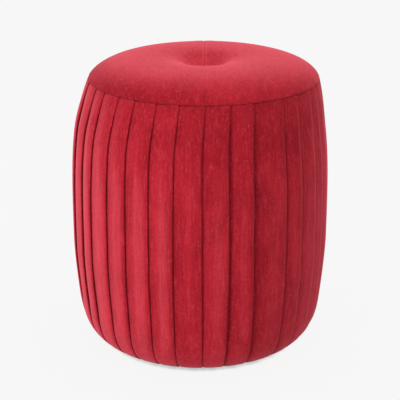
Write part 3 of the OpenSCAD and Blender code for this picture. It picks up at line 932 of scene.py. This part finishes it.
def dust_cloth():
    """Black cloth under the base, stapled round its edge, with a hole for each glide."""
    rng = np.random.RandomState(8)
    lo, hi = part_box("dust_cover")
    radius, base = (hi.x - lo.x) / 2 / MM, lo.z / MM
    thick, hole_r, step = 0.7, 6.3, 6.0
    holes = []
    for k in range(1, 5):
        g_lo, g_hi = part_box(f"glide_{k}")
        holes.append(((g_lo.x + g_hi.x) / 2 / MM, (g_lo.y + g_hi.y) / 2 / MM))

    def clear(x, y, distance):
        """Whether a point is further than this from the middle of every hole."""
        return all(math.hypot(x - cx, y - cy) > distance for cx, cy in holes)

    # the edge, the holes and a staggered grid between them, joined into triangles
    points, edges = [], []
    for cx, cy, r, count in [(0, 0, radius, 144)] + [(cx, cy, hole_r, 24) for cx, cy in holes]:
        first = len(points)
        for k in range(count):
            a = 2 * math.pi * k / count
            points.append(Vector((cx + r * math.cos(a), cy + r * math.sin(a))))
            edges.append((first + k, first + (k + 1) % count))
    n = int(radius / step) + 1
    for i in range(-n, n + 1):
        for j in range(-n, n + 1):
            x, y = (i + 0.5 * (j % 2)) * step, j * step * 0.87
            if math.hypot(x, y) < radius - 3 and clear(x, y, hole_r + 2.5):
                points.append(Vector((x, y)))
    verts, _, tris, *_ = geometry.delaunay_2d_cdt(points, edges, [], 1, 1e-4)
    flat = np.array([[v.x, v.y] for v in verts])
    kept = [list(t) for t in tris if clear(*flat[list(t)].mean(0), hole_r)]

    # it sags in the middle, between the staples, and not at the glides
    r = np.hypot(flat[:, 0], flat[:, 1])
    a = np.arctan2(flat[:, 1], flat[:, 0])
    sag = 1.1 * (1 - (r / radius) ** 2)
    sag += 0.25 * np.cos(12 * (a - math.radians(15))) * (r / radius) ** 6
    sag += 0.3 * waves(rng, 5, 2, 7)(flat[:, 0] / radius) * (1 - (r / radius) ** 4)
    for cx, cy in holes:
        sag *= 1 - np.exp(-(np.hypot(flat[:, 0] - cx, flat[:, 1] - cy) / 16) ** 2)
    low = np.column_stack([flat, base - np.maximum(sag, 0)])
    top = low + np.array([0, 0, thick])

    # both sides, and a wall along each edge that only one triangle has
    count = len(flat)
    faces = kept + [[v + count for v in t[::-1]] for t in kept]
    directed = dict.fromkeys((t[k], t[(k + 1) % 3]) for t in kept for k in range(3))
    faces += [[j, i, i + count, j + count] for i, j in directed if (j, i) not in directed]
    piece = add_object("dust_cloth", np.concatenate([low, top]), faces, DUST_CLOTH)
    finish_piece(piece, "dust_cloth", "dust_cover")


# ---------------------------------------------------------------- stage, in metres
BACKDROP = (0.945, 0.945, 0.945, 1)      # floor and background as the camera sees them
FLOOR_HALF = 9.0
CAMERA_LENS, CAMERA_SENSOR = 106.7, 36.0     # millimetres
CAMERA_PLACE = (0, -1.758, 0.849)
CAMERA_DOWN = 0.344                      # radians below level
LIGHT_AIM = Vector((0, 0, 0.25))


def new_node(tree, kind, **values):
    node = tree.nodes.new(kind)
    for key, value in values.items():
        node.inputs[key.replace("_", " ")].default_value = value
    return node


def floor_material():
    """A glowing floor that merges with the background, with a thin contact shadow."""
    floor = bpy.data.materials.new("studio_floor")
    floor.use_nodes = True
    tree = floor.node_tree
    tree.nodes.remove(tree.nodes["Principled BSDF"])
    glow = new_node(tree, "ShaderNodeEmission", Color=BACKDROP)
    paint = new_node(tree, "ShaderNodeBsdfDiffuse", Color=(0.8, 0.8, 0.8, 1))
    blend = new_node(tree, "ShaderNodeMixShader", Fac=0.05)
    # the glow lights the stool less than the camera sees of it
    spill = new_node(tree, "ShaderNodeLightPath")
    level = new_node(tree, "ShaderNodeMapRange", To_Min=0.35, To_Max=1.0)
    # it darkens within 10 mm of whatever stands on it
    nearby = new_node(tree, "ShaderNodeAmbientOcclusion", Distance=0.010)
    contact = new_node(tree, "ShaderNodeMapRange", From_Min=0.05, From_Max=0.50, To_Min=0.10)
    lit = new_node(tree, "ShaderNodeMath")
    lit.operation = "MULTIPLY"
    for source, target in (
            (spill.outputs["Is Camera Ray"], level.inputs["Value"]),
            (nearby.outputs["AO"], contact.inputs["Value"]),
            (level.outputs["Result"], lit.inputs[0]),
            (contact.outputs["Result"], lit.inputs[1]),
            (lit.outputs[0], glow.inputs["Strength"]),
            (glow.outputs[0], blend.inputs[1]),
            (paint.outputs[0], blend.inputs[2]),
            (blend.outputs[0], tree.nodes["Material Output"].inputs["Surface"])):
        tree.links.new(source, target)
    return floor


def studio_world():
    """Plain background for the camera, and a slightly warm, dimmer one as light."""
    world = bpy.data.worlds.new("studio")
    world.use_nodes = True
    tree = world.node_tree
    seen = tree.nodes["Background"]
    seen.inputs["Color"].default_value = BACKDROP
    seen.inputs["Strength"].default_value = 1.0
    light = new_node(tree, "ShaderNodeBackground", Color=(1.0, 0.98, 0.97, 1), Strength=0.74)
    path = new_node(tree, "ShaderNodeLightPath")
    choose = new_node(tree, "ShaderNodeMixShader")
    tree.links.new(path.outputs["Is Camera Ray"], choose.inputs["Fac"])
    tree.links.new(light.outputs[0], choose.inputs[1])
    tree.links.new(seen.outputs[0], choose.inputs[2])
    tree.links.new(choose.outputs[0], tree.nodes["World Output"].inputs["Surface"])
    return world


def softbox(name, place, size, watts):
    data = bpy.data.lights.new(name, "AREA")
    data.size = size
    data.energy = watts
    lamp = bpy.data.objects.new(name, data)
    lamp.location = place
    aim = LIGHT_AIM - Vector(place)
    lamp.rotation_euler = aim.to_track_quat("-Z", "Y").to_euler()
    bpy.context.scene.collection.objects.link(lamp)


def stage():
    """Plain pale floor, soft studio light and the camera."""
    scene = bpy.context.scene
    scene.view_settings.view_transform = "Standard"
    scene.world = studio_world()

    h = FLOOR_HALF
    mesh = bpy.data.meshes.new("studio_floor")
    mesh.from_pydata([(-h, -h, 0), (h, -h, 0), (h, h, 0), (-h, h, 0)], [], [(0, 1, 2, 3)])
    mesh.materials.append(floor_material())
    plane = bpy.data.objects.new("studio_floor", mesh)
    scene.collection.objects.link(plane)

    softbox("key_left", (-1.95, -1.75, 0.35), 0.5, 25)
    softbox("top", (0.2, 0.5, 2.5), 1.4, 9)

    camera = bpy.data.cameras.new("camera")
    camera.sensor_width = CAMERA_SENSOR
    camera.lens = CAMERA_LENS
    camera.clip_start, camera.clip_end = 0.05, 60
    viewer = bpy.data.objects.new("camera", camera)
    viewer.location = CAMERA_PLACE
    viewer.rotation_euler = (math.radians(90) - CAMERA_DOWN, 0, 0)
    scene.collection.objects.link(viewer)
    scene.camera = viewer


pleated_side()
seats()
button()
threads()
stay_tape()
fillings()
dust_cloth()
stage()
